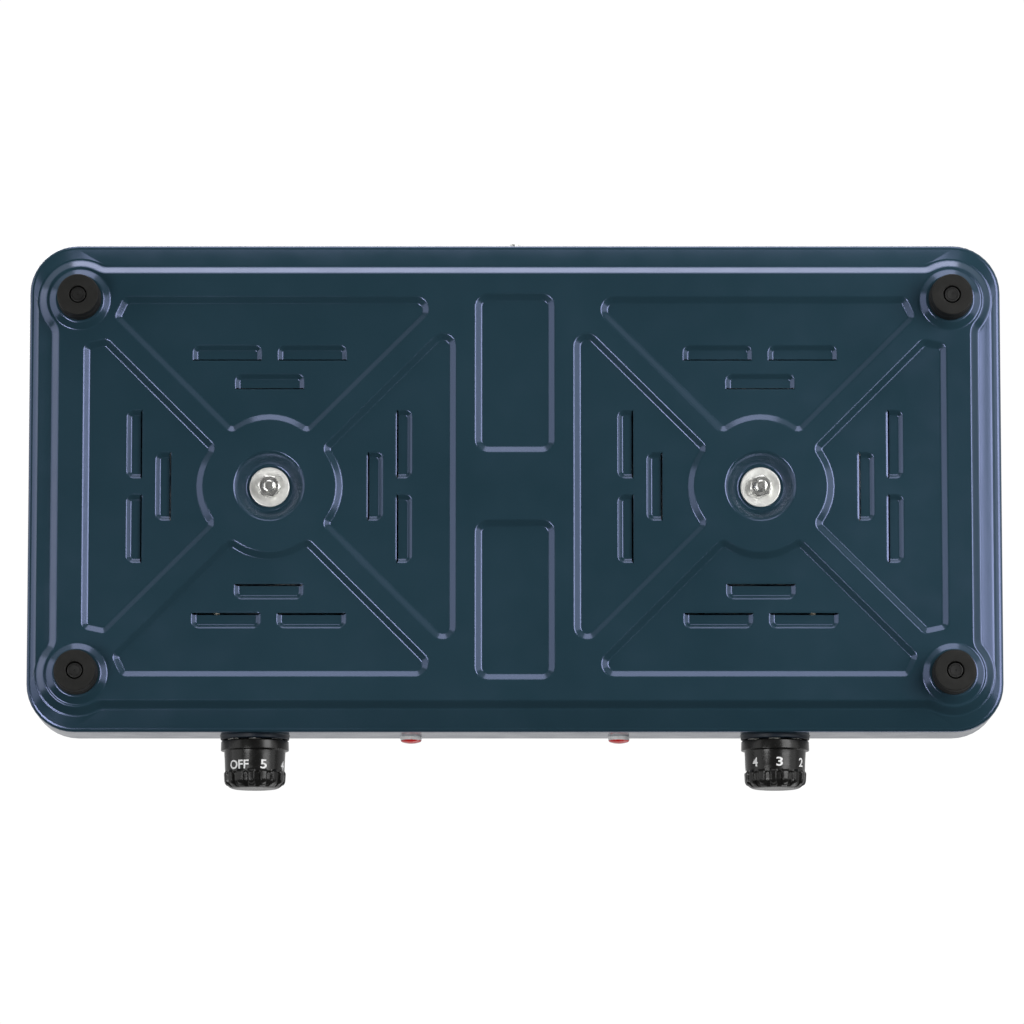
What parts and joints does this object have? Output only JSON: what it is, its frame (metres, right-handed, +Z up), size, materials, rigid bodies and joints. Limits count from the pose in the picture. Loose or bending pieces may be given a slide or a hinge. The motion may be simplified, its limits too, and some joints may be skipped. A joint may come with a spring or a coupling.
{
  "type": "double electric hotplate",
  "caption": "Portable two-plate electric cooker with stamped steel body, cast-iron hotplates, rubber feet and turning front thermostat knobs.",
  "frame": {"origin": "on the surface the feet stand on, under the middle of the whole object with its knobs and gland", "axes": "+X to the user's right, +Y to the back, -Y to the front with the knobs, +Z up"},
  "size_m": [0.486, 0.2768, 0.08],
  "materials": {
    "enamel": "gloss baked enamel, deep slate blue",
    "cast_iron": "machined and blackened, fine turned grooves",
    "trim_steel": "bright pressed stainless steel",
    "reflector_steel": "dull aluminised sheet",
    "zinc_steel": "bright zinc plate",
    "foot_rubber": "matte moulded rubber",
    "black_plastic": "satin moulded plastic",
    "red_lens": "clear red, polished",
    "pale_plastic": "natural moulded nylon",
    "steatite": "unglazed fired steatite",
    "brass": "plain strip and turned brass",
    "wire_sleeve": "woven glass sleeve over copper wire"
  },
  "bodies": {
    "root": {"bottom_pan": "enamel", "top_housing": "enamel", "hotplate_left": "cast_iron", "hotplate_right": "cast_iron", "trim_ring_left": "trim_steel", "trim_ring_right": "trim_steel", "reflector_left": "reflector_steel", "reflector_right": "reflector_steel", "centre_stud_left": "zinc_steel", "spacer_left": "zinc_steel", "reflector_spacer_left": "zinc_steel", "stud_washer_left": "zinc_steel", "stud_nut_left": "zinc_steel", "thermostat_bracket_left": "zinc_steel", "centre_stud_right": "zinc_steel", "spacer_right": "zinc_steel", "reflector_spacer_right": "zinc_steel", "stud_washer_right": "zinc_steel", "stud_nut_right": "zinc_steel", "thermostat_bracket_right": "zinc_steel", "thermostat_screw_left_a": "zinc_steel", "thermostat_screw_left_b": "zinc_steel", "thermostat_screw_right_a": "zinc_steel", "thermostat_screw_right_b": "zinc_steel", "terminal_screw": "zinc_steel", "foot_rear_left": "foot_rubber", "foot_rear_right": "foot_rubber", "foot_front_left": "foot_rubber", "foot_front_right": "foot_rubber", "foot_pin_rear_left": "black_plastic", "foot_pin_rear_right": "black_plastic", "foot_pin_front_left": "black_plastic", "foot_pin_front_right": "black_plastic", "cable_gland": "black_plastic", "lamp_lens_left": "red_lens", "lamp_lens_right": "red_lens", "lamp_holder_left": "pale_plastic", "lamp_holder_right": "pale_plastic", "terminal_block": "pale_plastic", "plate_terminal_left": "steatite", "plate_terminal_right": "steatite", "thermostat_base_left": "steatite", "thermostat_base_right": "steatite", "blade_post_left": "steatite", "blade_post_right": "steatite", "bimetal_strip_left": "brass", "bimetal_strip_right": "brass", "earth_screw": "brass", "supply_wire_left": "wire_sleeve", "neutral_wire_left": "wire_sleeve", "plate_lead_left": "wire_sleeve", "supply_wire_right": "wire_sleeve", "neutral_wire_right": "wire_sleeve", "plate_lead_right": "wire_sleeve", "earth_wire": "wire_sleeve"},
    "knob_left": {"knob_left": "black_plastic", "spindle_left": "zinc_steel"},
    "knob_right": {"knob_right": "black_plastic", "spindle_right": "zinc_steel"}
  },
  "joints": [
    {"name": "knob_left_turn", "type": "hinge", "parent": "root", "child": "knob_left", "pos_m": [-0.13, -0.1259, 0.044], "axis": [0, 1, 0], "range_deg": [-36, 274]},
    {"name": "knob_right_turn", "type": "hinge", "parent": "root", "child": "knob_right", "pos_m": [0.13, -0.1259, 0.044], "axis": [0, 1, 0], "range_deg": [-149, 161]}
  ]
}
